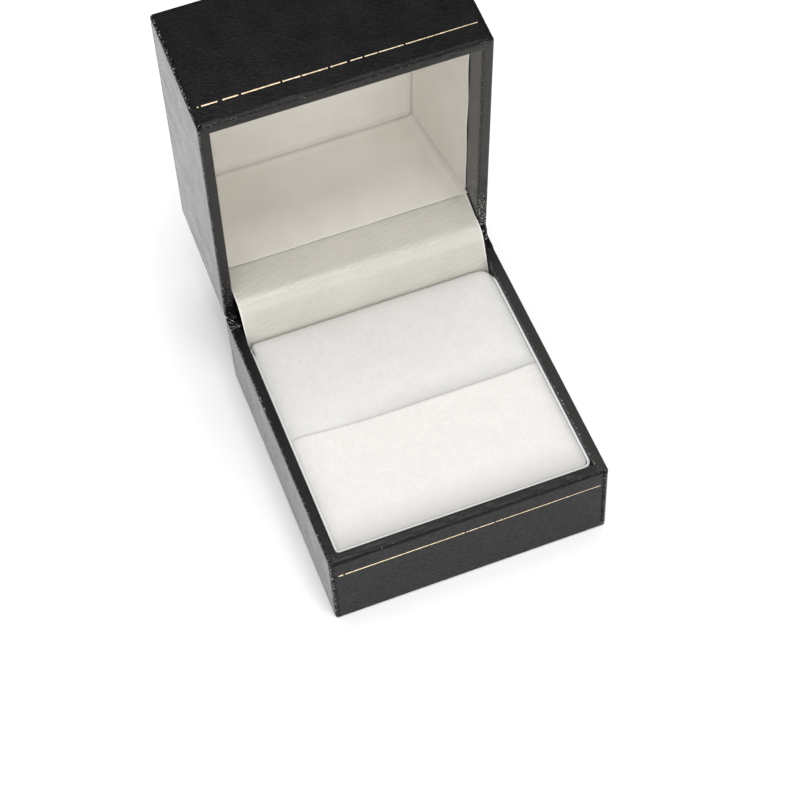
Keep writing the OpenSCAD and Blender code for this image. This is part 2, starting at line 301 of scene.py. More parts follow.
def build_wrap(name, height, place, closed_top):
    """A half's leatherette. place(z above the closed side) gives z in the shut box."""
    up = 1 if place(1) > place(0) else -1
    samples = np.linspace(0, BOTTOM_BAND, 121)
    rings = np.array([outline(i) for i in samples])
    columns = rings.shape[1]
    normals = outline(0)[:, 2:]
    profiles = np.array([wrap_profile(height, roll_size(x, nx, ny)) for x, _, nx, ny in outline(0)])
    rows = profiles.shape[1]
    mitres = {k for k, n in enumerate(normals) if abs(abs(n[0]) - abs(n[1])) < 0.05}
    points, wear, rubbed_and_sheen = [], [], []
    for i in range(rows):
        for j in range(columns):
            inset, z = profiles[j, i]
            at = min(inset / samples[1], len(samples) - 1.001)
            lower = int(at)
            x, y = (rings[lower, j] * (lower + 1 - at) + rings[lower + 1, j] * (at - lower))[:2]
            nx, ny = normals[j]
            if i >= rows - HIDDEN_POINTS:
                points.append((x, y, place(z)))
                wear.append(0.0)
                rubbed_and_sheen.append(0.0)
                continue
            sink = waves(x, y, place(z)) * (-INNER_SINK if inset > WALL - 0.05 else 1)
            x, y = x - nx * sink, y - ny * sink
            top = nearness(height - z, RIM_SKIN)
            pucker = PUCKER * wave((x * 1.3 - y, y * 0.7, 0), 0.8, 2.0)
            pucker *= nearness(hypot(HALF_W - abs(x), HALF_D - abs(y)), PUCKER_REACH)
            drop = top * (0.04 + 0.02 * wave((x, y, 0), 2.6, 11.0) + pucker + rim_marks(x, y, ny))
            if j in mitres:
                drop += MITRE_DROP * top
            points.append((x, y, place(z) - up * drop))
            wear.append(edge_wear_and_highlights(x, y, nx, inset, z, height, closed_top))
            rubbed_and_sheen.append(rim_painted_sheen(x, y, inset, z, height, closed_top))
    faces = grid_faces(rows, columns, wrap_rows=not closed_top, wrap_columns=True, flip=up < 0)
    if closed_top:
        for row, z, flip in ((0, place(SINK * 0.5), up < 0), (rows - 1, place(WRAP_T), up > 0)):
            extra, more = cap(BOTTOM_BAND, z, columns, flip)
            shift = (row * columns, len(points) - columns)
            points += extra
            faces += [tuple(k + shift[k >= columns] for k in f) for f in more]
            wear += [0.0] * len(extra)
    else:
        overlap_seam(points, faces, wear, height, place)
    obj = add_mesh(name, points, faces, [BLACK], open_lid=closed_top)
    set_attribute(obj, "wear", wear)
    set_attribute(obj, "rubbed_and_sheen", rubbed_and_sheen + [0.0] * (len(points) - len(rubbed_and_sheen)))
    return obj


def rim_painted_sheen(x, y, inset, z, height, lid):
    """Painted sheen: how far the rim's flat top is greyed for the light it would reflect, most on the
    right-hand side and less towards the hinge.
    """
    level = nearness(max(0.0, height - z - 0.12), 0.25)
    side = 0.62 if x > HALF_W - WALL - 0.1 else 0.42 if lid or y < -HALF_D + WALL else 0.20
    return side * level * min(1.0, inset / 0.3) * min(1.0, (HALF_D - y) / 12.0)


def cap(inset, z, columns, flip):
    """Rings that close a face inside the given inset. Numbers below columns are those of the ring
    that it starts from."""
    points = []
    steps = 12
    for k in range(1, steps + 1):
        ring = outline(inset)[:, :2] * (1 - 0.97 * k / steps)
        points += [(x, y, z - 0.02 * wave((x, y, z), 6.0)) for x, y in ring]
    faces = grid_faces(steps + 1, columns, wrap_columns=True, flip=not flip)
    last = [steps * columns + j for j in range(columns)]
    faces.append(tuple(last if flip else reversed(last)))
    return points, faces


def overlap_seam(points, faces, wear, height, place):
    """The wrap's end, which laps over itself round the front right corner."""
    ring = outline(0.0)
    front = range(len(ring) // 2, len(ring))
    start = next(k for k in front if ring[k, 1] < -HALF_D + 0.01 and ring[k, 0] > HALF_W - 1.3)
    run = list(ring[start:]) + list(ring[:7 + SEAM_BACK])
    rows = 30
    first = len(points)
    for depth in (-0.018, 0.12):
        for i in range(rows + 1):
            z = 0.7 + (height - FRONT_ROLL[1] * 0.55 - 0.7) * i / rows
            for j, (x, y, nx, ny) in enumerate(run):
                lift = 0.015 * wave((x, y, z), 2.5, 6.0) if j < 3 else 0.0
                inset = depth + SINK * 0.5 - (lift if depth < 0 else 0.0)
                points.append((x - nx * inset, y - ny * inset, place(z)))
                wear.append(0.35 if j < 2 else 0.0)
    for part in slab_faces(rows + 1, len(run)):
        faces += shifted(part, first)


def edge_wear_and_highlights(x, y, nx, inset, z, height, lid):
    """How exposed a point is: up to 1 on the upright corners and the rim's outer edge, 0 on flat faces. The
    extra along the left rim's outer edge and the right rim's inner edge is a painted highlight.
    """
    right, left = nx > 0.7, nx < -0.7
    if inset > WALL - RIM_IN_R:
        # The right rim's inner edge, most towards the base's front, gets pale chips as a painted highlight.
        highlit_front = right and y < -8 and not lid
        rubbed_and_sheen = 1.5 if highlit_front else 1.0 if right else 0.5
        return min(1.0, 0.55 * rubbed_and_sheen * nearness(abs(z - height + 0.15), 0.4))
    corner = hypot(HALF_W - 0.25 - abs(x), HALF_D - 0.25 - abs(y))
    upright = (0.38 if x > 0 else 0.66) * nearness(corner, 0.8) if inset < 0.3 else 0.0
    # The left side's higher value paints a highlight line along the rim's outer edge.
    rim = (0.9 if left else 0.5) * nearness(hypot(inset - 0.1, z - height + 0.12), 0.32)
    foot = 0.45 * nearness(hypot(inset - 0.1, z - 0.1), 0.5)
    return min(1.0, max(upright, rim, foot, crease_wear(x, y, lid, right) if z > height - 0.4 else 0.0))


def crease_wear(x, y, lid, right):
    """Wear on the rim's top towards the hinge, and along the mitres at the front."""
    near_hinge = nearness(HALF_D - y, 20.0 if lid else 6.0)
    hinge_end = (0.62 if lid and right else 0.36) * min(1.0, 2 * near_hinge)
    if abs(x) <= HALF_W - 2 or y >= 0:
        return hinge_end
    off_mitre = abs((HALF_W - abs(x)) - (HALF_D - abs(y)))
    return max(hinge_end, 0.42 * nearness(off_mitre, 0.35))


def build_gold_line(body, seed, box):
    """Stamped foil along the front: a hair-thin band that thins out to the right and skips in places.
    box is that of its CAD node with the lid shut."""
    low, high = box
    level = (low[2] + high[2]) / 2
    xs = np.arange(low[0] + 0.02, high[0], 0.12)
    points, faces = [], []
    for x in xs:
        along = (x - xs[0]) / (xs[-1] - xs[0])
        half = (0.155 - 0.085 * along) * (0.88 + 0.35 * wave((x, 0, 0), 0.9, 3.0))
        z = level + 0.03 * wave((x, 0, 0), 8.0, 5.0)
        face = -HALF_D + waves(x, -HALF_D, z)
        points += [(x, face + dy, z + dz) for dz, dy in ((-half, FOIL_T), (-half, -FOIL_T),
                                                         (half, -FOIL_T), (half, FOIL_T))]
    for i in range(len(xs) - 1):
        if noise.noise(Vector((xs[i] * 1.3, 2.0, seed))) > FOIL_SKIP:
            continue
        for k in range(4):
            n = (k + 1) % 4
            faces.append((4 * i + k, 4 * i + 4 + k, 4 * i + 4 + n, 4 * i + n))
    used = sorted({k for f in faces for k in f})
    new = {k: i for i, k in enumerate(used)}
    faces = [tuple(new[k] for k in f) for f in faces]
    obj = add_mesh(body + "_gold_foil", [points[k] for k in used], faces, [GOLD], open_lid=body == "lid")
    stands_for(obj, body + "_gold_line", body)


# ---- Materials ----


class Shader:
    """A Principled material with short ways to add the nodes that drive it."""

    def __init__(self, name, colour, roughness, **sockets):
        self.material = bpy.data.materials.new(name)
        self.material.use_nodes = True
        self.tree = self.material.node_tree
        self.bsdf = self.tree.nodes["Principled BSDF"]
        self.bsdf.inputs["Base Color"].default_value = (*colour, 1)
        self.bsdf.inputs["Roughness"].default_value = roughness
        for key, value in sockets.items():
            self.bsdf.inputs[key.replace("_", " ")].default_value = value
        self.height = None

    def node(self, kind, **settings):
        """A new node. A setting named after one of its inputs goes to that input."""
        n = self.tree.nodes.new(kind)
        for key, value in settings.items():
            if key in n.inputs:
                self.feed(value, n.inputs[key])
            else:
                setattr(n, key, value)
        return n

    def feed(self, value, socket):
        """Sets the socket to a number or a colour, or links another node's output to it."""
        if isinstance(value, bpy.types.NodeSocket):
            self.tree.links.new(value, socket)
        elif isinstance(value, tuple) and len(socket.default_value) == 4:
            socket.default_value = (*value, 1)
        else:
            socket.default_value = value

    def place(self):
        """Texture coordinates that stay with the piece when it bends."""
        return self.node("ShaderNodeAttribute", attribute_name="rest").outputs["Vector"]

    def object_place(self):
        return self.node("ShaderNodeTexCoord").outputs["Object"]

    def attribute(self, name):
        return self.node("ShaderNodeAttribute", attribute_name=name).outputs["Fac"]

    def noise(self, place, size, detail=2.0, rough=0.5):
        settings = {"Scale": 1 / (size * MM), "Detail": detail, "Roughness": rough}
        return self.node("ShaderNodeTexNoise", Vector=place, **settings).outputs["Fac"]

    def cells(self, place, size):
        n = self.node("ShaderNodeTexVoronoi", feature="SMOOTH_F1", Vector=place, Scale=1 / (size * MM))
        return n.outputs["Distance"]

    def stretched(self, place, scale):
        return self.node("ShaderNodeMapping", Vector=place, Scale=scale).outputs[0]

    def chain(self, operation, values):
        total = values[0]
        for value in values[1:]:
            n = self.node("ShaderNodeMath", operation=operation)
            self.feed(total, n.inputs[0])
            self.feed(value, n.inputs[1])
            total = n.outputs[0]
        return total

    def sum(self, *values):
        return self.chain("ADD", values)

    def product(self, *values):
        return self.chain("MULTIPLY", values)

    def span(self, value, low, high, to_low=0.0, to_high=1.0):
        limits = {"From Min": low, "From Max": high, "To Min": to_low, "To Max": to_high}
        return self.node("ShaderNodeMapRange", Value=value, **limits).outputs[0]

    def mix(self, fac, a, b):
        n = self.node("ShaderNodeMix", data_type="RGBA")
        for index, value in ((0, fac), (6, a), (7, b)):
            self.feed(value, n.inputs[index])
        return n.outputs[2]

    def bump(self, height, distance, strength=1.0):
        """Stacks one more bump over those before it."""
        n = self.node("ShaderNodeBump", Distance=distance * MM, Strength=strength, Height=height)
        if self.height is not None:
            self.feed(self.height, n.inputs["Normal"])
        self.height = n.outputs[0]
        self.feed(self.height, self.bsdf.inputs["Normal"])
        return self

    def colour(self, value):
        self.feed(value, self.bsdf.inputs["Base Color"])

    def roughness(self, value):
        self.feed(value, self.bsdf.inputs["Roughness"])


def shade(tone, share):
    return tuple(c * share for c in tone)


def black_leatherette():
    """Pebbled black leatherette. The wear attribute brings pale chips and dull pits, some of them painted
    highlights; the second attribute greys the rims' flat tops, a painted reflection.
    """
    s = Shader("black_leatherette", (0.005, 0.005, 0.006), 0.2, Specular_IOR_Level=0.5, IOR=1.25,
               Sheen_Weight=0.22, Sheen_Roughness=0.3)
    at = s.place()
    grain = s.stretched(at, (0.62, 1, 1))
    pebble = s.cells(grain, 0.40)
    fine = s.noise(grain, 0.11, 3.0)
    grit = s.noise(at, 0.62, 2.0, 0.6)
    broad = s.noise(at, 5.0, 3.0)
    wear = s.attribute("wear")
    worn = s.sum(s.noise(at, 0.34, 3.0, 0.7), s.product(wear, 0.26))
    pits = s.product(s.span(s.noise(at, 0.46, 3.0, 0.7), 0.49, 0.54), s.span(wear, 0.06, 0.20))
    chips = s.product(s.span(worn, 0.72, 0.78), s.span(wear, 0.12, 0.30))
    scuffs = s.product(s.span(s.noise(at, 0.50, 4.0, 0.75), 0.70, 0.74), 0.30)
    tone = s.mix(s.span(broad, 0.3, 0.7), (0.004, 0.004, 0.005), (0.007, 0.007, 0.007))
    tone = s.mix(s.span(fine, 0.50, 0.8), tone, (0.018, 0.018, 0.017))
    tone = s.mix(scuffs, tone, (0.05, 0.05, 0.048))
    # Painted reflection: the rims' flat tops are greyed where they would mirror the light.
    tone = s.mix(s.attribute("rubbed_and_sheen"), tone, (0.052, 0.050, 0.047))
    s.colour(s.mix(chips, tone, (0.46, 0.45, 0.42)))
    smooth = s.sum(s.span(broad, 0.3, 0.7, 0.15, 0.23), s.span(fine, 0.3, 0.7, -0.04, 0.07),
                   s.span(grit, 0.46, 0.58, 0.0, 0.02))
    s.roughness(s.sum(smooth, s.sum(s.product(chips, 0.4), s.product(pits, 0.45))))
    shine = s.product(s.span(pebble, 0.1, 0.6, 0.54, 0.38), s.span(fine, 0.3, 0.7, 0.80, 1.15),
                      s.span(grit, 0.42, 0.60, 0.98, 0.80), s.span(pits, 0.0, 1.0, 1.0, 0.08))
    s.feed(shine, s.bsdf.inputs["Specular IOR Level"])
    s.bump(grit, 0.030, 1.0).bump(pebble, 0.030, 0.55).bump(fine, 0.010, 0.5)
    return s.material


def ivory_leatherette(name, tone, grain, roughness):
    """Ivory leatherette. Above grain 1, the cover's, it also has fine ribs that run aslant."""
    s = Shader(name, tone, roughness, Specular_IOR_Level=0.5)
    at = s.place()
    fine = s.noise(at, 0.15, 3.0, 0.6)
    creases = s.cells(at, 0.33)
    broad = s.noise(at, 7.0, 3.0)
    pinch = s.noise(at, 1.6, 4.0, 0.6)
    mixed = s.mix(s.span(broad, 0.35, 0.65), shade(tone, 0.965), shade(tone, 1.035))
    s.colour(s.mix(s.span(fine, 0.4, 0.8, 0.0, 0.3), mixed, shade(tone, 0.88)))
    s.roughness(s.span(fine, 0.3, 0.7, roughness - 0.06, roughness + 0.08))
    s.bump(pinch, 0.03 / grain, 0.35).bump(creases, 0.03 * grain, 0.5).bump(fine, 0.012 * grain, 0.5)
    if grain > 1:
        slant = s.node("ShaderNodeCombineXYZ")
        for k, direction in enumerate(((-0.24, 0.73, 0.73), (0.12, 0.03, 0.03))):
            dot = s.node("ShaderNodeVectorMath", operation="DOT_PRODUCT")
            s.feed(at, dot.inputs[0])
            s.feed(direction, dot.inputs[1])
            s.feed(dot.outputs["Value"], slant.inputs[k])
        s.bump(s.noise(slant.outputs[0], 0.42), 0.12)
    return s.material


def velvet(name, tone):
    """Velvet pile: a fine tooth, soft brushed patches and a pale bloom. A point attribute darkens its
    colour:
    painted shade along the pads' edges and sides, the front pad's front and the rear pad's side of the slot."""
    s = Shader(name, tone, 1.0, Specular_IOR_Level=0.1, Sheen_Weight=0.12, Sheen_Roughness=0.4)
    at = s.place()
    nap = s.noise(at, 0.085, 3.0, 0.75)
    tufts = s.noise(at, 0.40, 3.0, 0.7)
    patches = s.noise(at, 2.0, 4.0, 0.6)
    brushed = s.noise(at, 9.0, 2.0)
    mixed = s.mix(s.span(patches, 0.35, 0.65), shade(tone, 0.955), shade(tone, 1.03))
    mixed = s.mix(s.span(brushed, 0.38, 0.62, 0.0, 0.5), mixed, tone)
    mixed = s.mix(s.span(tufts, 0.44, 0.66, 0.0, 0.7), mixed, shade(tone, 0.88))
    mixed = s.mix(s.span(nap, 0.40, 0.72, 0.0, 0.8), mixed, shade(tone, 0.86))
    # Painted shade: the colour darkens where the attribute is high.
    s.colour(s.mix(s.attribute("painted_shade"), mixed, shade(tone, 0.66)))
    s.bump(nap, 0.05, 0.45).bump(tufts, 0.05, 0.3).bump(patches, 0.09, 0.2)
    return s.material


def plain(name, colour, roughness, size, depth, spread=0.12, **sockets):
    """Moulded, paper and card surfaces: one tone with a fine mottle and a fine tooth."""
    s = Shader(name, colour, roughness, **sockets)
    at = s.object_place()
    fine = s.noise(at, size, 4.0, 0.6)
    broad = s.noise(at, size * 14, 3.0)
    high = tuple(min(1.0, c) for c in shade(colour, 1 + spread))
    s.colour(s.mix(s.span(fine, 0.3, 0.7), shade(colour, 1 - spread), high))
    s.roughness(s.span(broad, 0.3, 0.7, roughness - 0.06, roughness + 0.06))
    s.bump(fine, depth, 0.5)
    return s.material


def metal(name, colour, roughness, grain):
    """Sheet and wire with a drawn grain along X."""
    s = Shader(name, colour, roughness, Metallic=1.0)
    drawn = s.noise(s.stretched(s.object_place(), (0.05, 1, 1)), grain, 3.0, 0.6)
    stain = s.noise(s.object_place(), 3.0, 4.0, 0.6)
    s.colour(s.mix(s.span(stain, 0.35, 0.7), colour, shade(colour, 0.78)))
    stained = s.span(stain, 0.3, 0.7, roughness, roughness + 0.1)
    s.roughness(s.sum(s.span(drawn, 0.3, 0.7, -0.05, 0.08), stained))
    s.bump(drawn, 0.01, 0.4)
    return s.material


def gold_foil():
    tones = ((1.0, 0.80, 0.56), (0.62, 0.42, 0.24))
    s = Shader("gold_foil", tones[0], 0.38, Metallic=0.35)
    at = s.place()
    rubbed_and_sheen = s.noise(at, 0.35, 4.0, 0.7)
    s.colour(s.mix(s.span(rubbed_and_sheen, 0.52, 0.68), *tones))
    s.roughness(s.span(rubbed_and_sheen, 0.4, 0.7, 0.30, 0.55))
    s.bump(rubbed_and_sheen, 0.015, 0.5)
    return s.material


BLACK = black_leatherette()
IVORY = ivory_leatherette("ivory_leatherette", (0.695, 0.664, 0.604), 1.0, 0.50)
# The cover is the lining's ivory made darker: painted shade against the stronger light on it.
IVORY_COVER_SHADED = ivory_leatherette("ivory_leatherette_cover_painted_shade", (0.630, 0.608, 0.548), 1.6, 0.27)
VELVET = velvet("white_velvet", (0.868, 0.850, 0.818))
# The rear pad's velvet is the front's made darker: painted shade for the open lid's shadow over it.
VELVET_REAR_SHADED = velvet("white_velvet_rear_painted_shade", (0.835, 0.826, 0.802))
CUT_EDGE = plain("pale_cut_edge", (0.92, 0.90, 0.85), 0.7, 0.1, 0.02)
TRAY = plain("white_tray", (0.88, 0.89, 0.90), 0.55, 0.15, 0.01)
CARD = plain("grey_card", (0.40, 0.37, 0.32), 0.9, 0.2, 0.03)
FOAM = plain("foam", (0.80, 0.77, 0.66), 0.95, 0.35, 0.12)
MOULDING = plain("black_moulding", (0.025, 0.025, 0.026), 0.5, 0.25, 0.02)
PAPER = plain("black_paper", (0.03, 0.03, 0.03), 0.75, 0.3, 0.04)
GOLD = gold_foil()
STEEL = metal("hinge_steel", (0.62, 0.62, 0.60), 0.30, 0.12)
SPRING = metal("spring_steel", (0.30, 0.31, 0.34), 0.35, 0.10)
RIVET = metal("rivet_brass", (0.68, 0.56, 0.34), 0.35, 0.15)

# The CAD nodes that stay as they are, with the material that each one wears
CAD_LOOKS = {
    "base_shell": MOULDING, "lid_shell": MOULDING, "base_bottom_sheet": PAPER,
    "pad_riser": CARD,
    "hinge_base_leaf": STEEL, "hinge_lid_leaf": STEEL, "hinge_pin": STEEL,
    "hinge_rivets_base": RIVET, "hinge_rivets_lid": RIVET,
}


def dress_cad_nodes():
    for node, material in CAD_LOOKS.items():
        obj = frame["nodes"][node]
        obj.data.materials.clear()
        obj.data.materials.append(material)


def stands_for(obj, node, body=None):
    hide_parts(node)
    if body:
        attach(obj, body)


# ---- Case ----


def build_case():
    low, high = wrap_low[2], lid_high[2] - 0.02
    for body, height, place in (("base", BASE_RIM - low, lambda z: low + z),
                                ("lid", high - LID_RIM, lambda z: high - z)):
        wrap = build_wrap(body + "_wrap_leatherette", height, place, body == "lid")
        stands_for(wrap, body + "_wrap", body)
    build_gold_line("base", 7.0, mm_box("base_gold_line"))
    build_gold_line("lid", 12.4, shut_box("lid_gold_line"))


# Each end's pinched ridges: place along the fold, slant across it and half width
FOLD_RIDGES = {
    -1: ((4.5, -2.3, 0.22), (3.7, -2.0, 0.18), (2.6, -0.9, 0.13), (1.6, 0.5, 0.10)),
    1: ((3.9, -1.0, 0.12),),
}
FOLD_STEP = 0.1
FOLD_FADE = 16  # samples over which each end of the fold sinks into its rim
FOLD_SINK, FOLD_T = 0.20, 0.14
# y, and height over the base's rim, of the fold's line from the base's rim up to the joint
FOLD_LINE = ((22.6, 0.02), (23.6, 0.07), (24.6, 0.10), (25.6, 0.12),
             (26.4, 0.20), (26.85, 0.48), (27.0, 1.0))
FOLD_ON_LID = (25.7, 24.9, 24.1)  # where it then lies on the lid's rim, with the lid shut


def fold_ridge(along, across, side):
    """Height, 0 to 1, of the pinched ridges that run aslant over the fold's base end."""
    height = 0.0
    for place, slant, width in FOLD_RIDGES[side]:
        line = place + slant * across + 0.25 * wave((across * 4, place, 0), 1.0, side)
        height = max(height, 1 - abs(along - line) / width)
    return height


def build_hinge_folds():
    """Leatherette gathered where the two rims meet at each end of the hinge."""
    on_lid = swing([(0, y, LID_RIM - 0.11) for y in FOLD_ON_LID], -OPEN)
    line = [(y, BASE_RIM + z) for y, z in FOLD_LINE] + [(y, z) for _, y, z in on_lid]
    path = smooth_path(line, FOLD_STEP)
    for side, name in ((-1, "hinge_fold_left"), (1, "hinge_fold_right")):
        points, wear, columns = fold_points(path, side)
        sides, edge = slab_faces(len(path), columns, flip=side > 0)
        obj = add_mesh(name, points, sides + edge, [BLACK])
        set_attribute(obj, "wear", wear)
        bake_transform(obj)


def fold_points(path, side):
    """The points of a fold's two sides, their wear, with painted highlights on the ridges, and the number of
    columns.
    """
    points, wear = [], []
    columns = 20
    last = len(path) - 1
    for depth in (0.0, FOLD_T):
        for i, (y, z) in enumerate(path):
            turn = i / last
            fade = min(1.0, i / FOLD_FADE, (last - i) / FOLD_FADE)
            tuck = 0.25 * (1 - fade)
            ends = 0.62 if side > 0 and i > len(path) / 2 else 0.35
            for j in range(columns + 1):
                across = j / columns
                x = HALF_W - 0.10 - tuck - (WALL - 0.08 - tuck) * across
                ridge = fold_ridge(i * FOLD_STEP, across, side)
                crease = 0.10 * abs(wave((x * 0.9, y * 2.2 + 0.6 * x, z * 2.2), 1.4, 3.0 + side)) ** 0.6
                lift = (crease + 0.16 * ridge) * fade * min(1.0, 4 * across + 0.1) - FOLD_SINK * (1 - fade)
                points.append((side * x, y - (lift - depth) * turn, z + (lift - depth) * (1 - turn)))
                # Wear rises on the ridges: partly real wear, and the pale chips there also paint the
                # wrinkles' highlights.
                wear.append((ends + (1 - ends) * min(1.0, 1.6 * ridge)) * fade)
    return points, wear, columns + 1


def smooth_path(path, step):
    """A Catmull-Rom line through the points, sampled about every step."""
    path = [np.array(p) for p in path]
    ends = [2 * path[0] - path[1]] + path + [2 * path[-1] - path[-2]]
    out = []
    for k in range(1, len(ends) - 2):
        p0, p1, p2, p3 = ends[k - 1:k + 3]
        count = max(1, int(round(np.linalg.norm(p2 - p1) / step)))
        for i in range(count):
            t = i / count
            out.append(0.5 * (2 * p1 + (p2 - p0) * t + (2 * p0 - 5 * p1 + 4 * p2 - p3) * t * t
                              + (3 * p1 - p0 - 3 * p2 + p3) * t ** 3))
    return [tuple(p) for p in out] + [tuple(path[-1])]


# ---- Ring pad ----

PAD_CORNERS = {(-1, -1): 0.7, (1, -1): 1.5, (1, 1): 2.0, (-1, 1): 0.9}  # by the signs of x and y
SPREAD = {"left": 0.22, "right": 0.26, "front": -0.15, "back": 0.66}  # how far the pile stands out
TRAY_FIT = (0.15, 0.19, 0.15)  # the tray stands out by this on the left and right, and back from the front
TRAY_LOW = (tray_low[0] - TRAY_FIT[0], tray_low[1] + TRAY_FIT[2])
TRAY_HIGH = (tray_high[0] + TRAY_FIT[1], tray_high[1])
EDGE_ROUND = 1.7  # width of the pads' soft outer edge
EDGE_DROP = 0.26
EDGE_CROWN, CROWN_REACH = 0.22, 7.0  # the crown's fall towards the outer edges, and where it starts
SLOT_BOW = 1.05  # how far the ring slot bends towards the front
SLOT_BOW_REACH = 10.0  # how far the bend is felt to each side of the slot
PAINTED_SHADE_SIDES = 0.3  # painted shade on the pads' sides, below their tops


def tray_rim(x, y):
    """The tray's rim: highest at the front, lower on the right and under the pile along the back."""
    back = ramp(y, 17.8, 19.6)
    return (tray_high[2] + 0.38 + 0.12 * ramp(-y, 24.0, 24.8) - 0.20 * ramp(x, 21.6, 22.6)
            - 0.98 * back * back * (3 - 2 * back))


def rounded_drop(distance, width, depth):
    if distance >= width:
        return 0.0
    t = 1 - distance / width
    return depth * (1 - (1 - t * t) ** 0.5)


def slot_bow(x, distance):
    """How far a point moves to the front: the slot runs true at its left end and bows from there on."""
    along = ramp(x, -20.5, -1.5)
    end = 1 - max(0.0, x - 17.0) / 12.0
    return SLOT_BOW * along * (2 - along) * end * nearness(distance, SLOT_BOW_REACH) ** 2


def pad_height(x, y, side, slot, front, right_edge):
    """A pad's height over its flat top, side and slot away from its outer edge and from the slot."""
    z = -EDGE_DROP * nearness(side, EDGE_ROUND) ** 2
    z -= right_edge * rounded_drop(side, EDGE_ROUND, 0.20)
    z -= EDGE_CROWN * nearness(side, CROWN_REACH) ** 2
    if front:
        z -= rounded_drop(slot, 0.26, 0.10)
        z += 0.10 * nearness(slot, 6.0) ** 2
    else:
        z -= 0.07 + rounded_drop(slot, 0.30, 0.05)
        z -= (0.10 + 0.34 * ramp(x, -21, -7)) * nearness(slot, 8.0) ** 1.6
    return z + 0.045 * wave((x, y, 0), 7.0, 3.0 if front else 1.0) + 0.012 * wave((x, y, 0), 1.6, 5.0)


def pad_painted_shade(x, side, slot, from_front, front):
    """How much painted shade darkens the velvet: along the outer edges, and along the front or the slot."""
    by_side = 0.26 * nearness(side, 5.0) ** 1.5
    if front:
        return max(by_side, 0.95 * nearness(from_front, 7.0) ** 1.5)
    return max(by_side, 0.66 * ramp(x, -15, -1) * nearness(slot, 3.6) ** 1.2)


def build_pad(name, low, high, front, material, grow=1.0, sink=0.0):
    """A pad half: crowned top, soft outer edges, a tight edge at the ring slot. grow is the share of
    SPREAD that it takes, and sink lowers its top."""
    x0, x1 = low[0] - grow * SPREAD["left"], high[0] + grow * SPREAD["right"]
    slot_gap = 0.13 * grow
    y0 = low[1] - (grow * SPREAD["front"] if front else slot_gap)
    y1 = high[1] + (slot_gap if front else grow * SPREAD["back"])
    cx, cy, hw, hd = (x0 + x1) / 2, (y0 + y1) / 2, (x1 - x0) / 2, (y1 - y0) / 2
    slot_side = 1 if front else -1
    nx, ny = 90, 46

    def plan(u, v):
        """The grid's place u, v on the pad's outline, with its two outer corners rounded."""
        x, y = u * hw, v * hd
        side = (1 if x > 0 else -1, 1 if y > 0 else -1)
        if side[1] == slot_side:
            return x, y
        r = PAD_CORNERS[side]
        a, b = (abs(x) - hw + r) / r, (abs(y) - hd + r) / r
        if a > 0 and b > 0:
            a, b = a * (1 - b * b / 2) ** 0.5, b * (1 - a * a / 2) ** 0.5
            x, y = side[0] * (hw - r + a * r), side[1] * (hd - r + b * r)
        return x, y

    def border(x, y):
        """How far a place is from the outer edge and from the slot."""
        side = min(hw - abs(x), hd + y * slot_side)
        r = PAD_CORNERS[(1 if x > 0 else -1, -slot_side)]
        a, b = abs(x) - hw + r, -y * slot_side - hd + r
        if a > 0 and b > 0:
            side = r - hypot(a, b)
        return max(0.0, side), max(0.0, hd - y * slot_side)

    def bunched(t):
        """Grid places from -1 to 1, closer together near the ends."""
        return 0.75 * t + 0.25 * sin(t * pi / 2)

    top, painted_shade = [], []
    for j in range(ny + 1):
        for i in range(nx + 1):
            x, y = plan(bunched(2 * i / nx - 1), bunched(2 * j / ny - 1))
            side, slot = border(x, y)
            z = high[2] - sink + pad_height(x, y, side, slot, front, ramp(x + cx, 19, 22))
            top.append((cx + x, cy + y - slot_bow(cx + x, slot), z))
            painted_shade.append(pad_painted_shade(x, side, slot, y + hd, front))
    faces = grid_faces(ny + 1, nx + 1)
    points = list(top)
    above = ring = grid_rim(ny + 1, nx + 1)
    shoulder = tray_high[2] - 0.57
    levels = [(0.0, shoulder), (1.0, shoulder - 0.02)]
    levels += [(1.0, shoulder + (low[2] - shoulder) * k / 5) for k in range(1, 6)]
    for tuck, z in levels:
        below = []
        for index in ring:
            x, y, zt = top[index]
            tx = min(max(x, low[0]), high[0])
            slot_end = abs(y + slot_bow(x, 0.0) - (y1 if front else y0)) < 0.01
            ty = y if slot_end else min(max(y, low[1]), high[1])
            below.append(len(points))
            points.append((x + (tx - x) * tuck, y + (ty - y) * tuck, min(z, zt)))
        faces += [(above[m], above[m - 1], below[m - 1], below[m]) for m in range(1, len(ring))]
        faces.append((above[0], above[-1], below[-1], below[0]))
        above = below
    faces.append(tuple(reversed(above)))
    obj = add_mesh(name, points, faces, [material])
    set_attribute(obj, "painted_shade", painted_shade + [PAINTED_SHADE_SIDES] * (len(points) - len(painted_shade)))
    return obj


